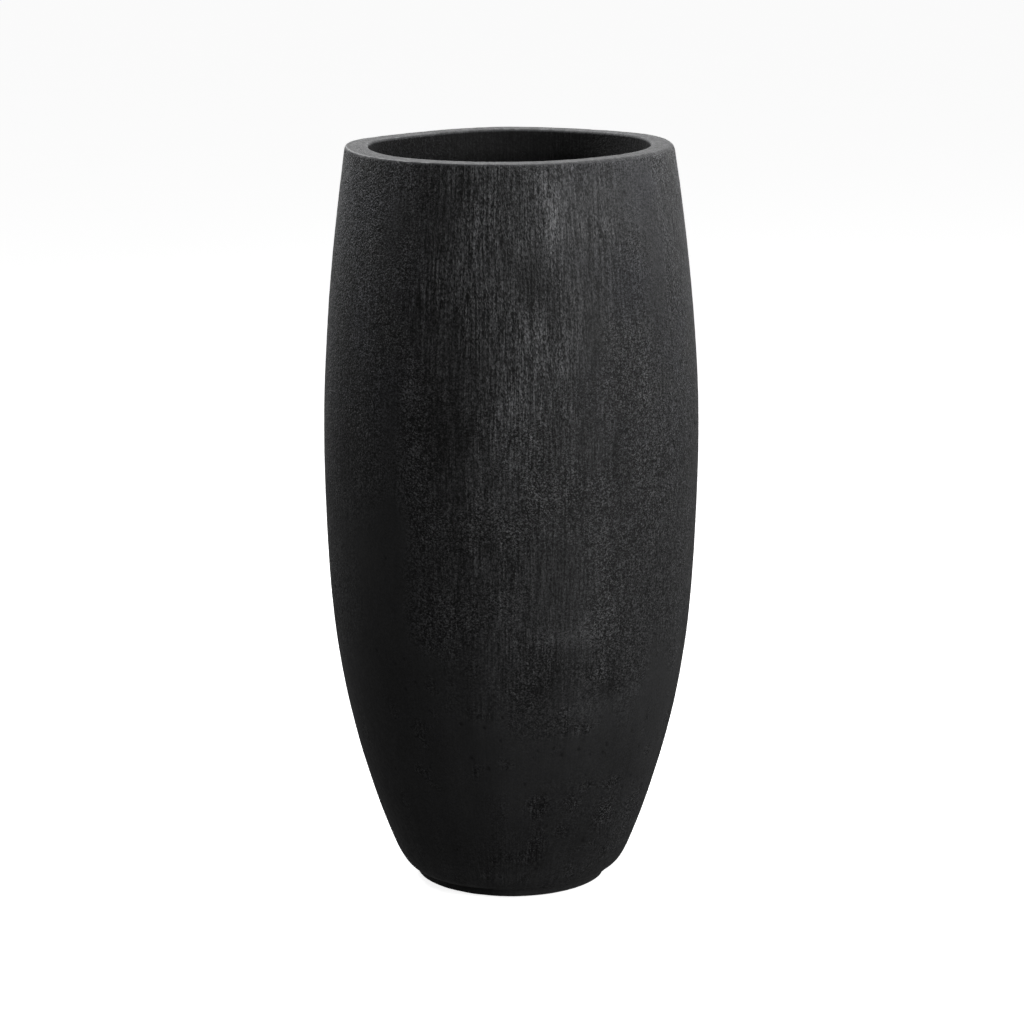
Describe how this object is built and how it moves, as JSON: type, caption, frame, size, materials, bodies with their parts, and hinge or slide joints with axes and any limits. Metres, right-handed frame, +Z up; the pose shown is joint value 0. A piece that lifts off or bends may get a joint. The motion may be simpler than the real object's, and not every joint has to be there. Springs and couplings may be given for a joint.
{
  "type": "floor planter",
  "caption": "Tall round barrel-shaped concrete floor planter with a thick flat rim, a stepped foot and a drain hole closed by a lift-out rubber plug.",
  "frame": {"origin": "on the floor, under the centre of the foot", "axes": "+Z up along the barrel's axis, -Y towards the picture's camera, +X to its right"},
  "size_m": [0.3558, 0.3558, 0.71],
  "materials": {
    "concrete": "matte charcoal concrete, brushed vertically, sandy and pitted in places, paler on the worn rim",
    "plug_rubber": "moulded black rubber, semi-matte",
    "pad_rubber": "die-cut dark grey rubber sheet, matte",
    "galvanised_wire": "dull galvanised wire, cast in"
  },
  "bodies": {
    "planter": {"planter_shell": "concrete", "foot_pads": "pad_rubber", "rim_hoop": "galvanised_wire", "wall_hoops": "galvanised_wire", "upright_bars": "galvanised_wire"},
    "plug": {"drain_plug": "plug_rubber"}
  },
  "joints": [
    {"name": "plug_lift", "type": "slide", "parent": "planter", "child": "plug", "axis": [0, 0, 1], "range_m": [0, 0.72]}
  ]
}
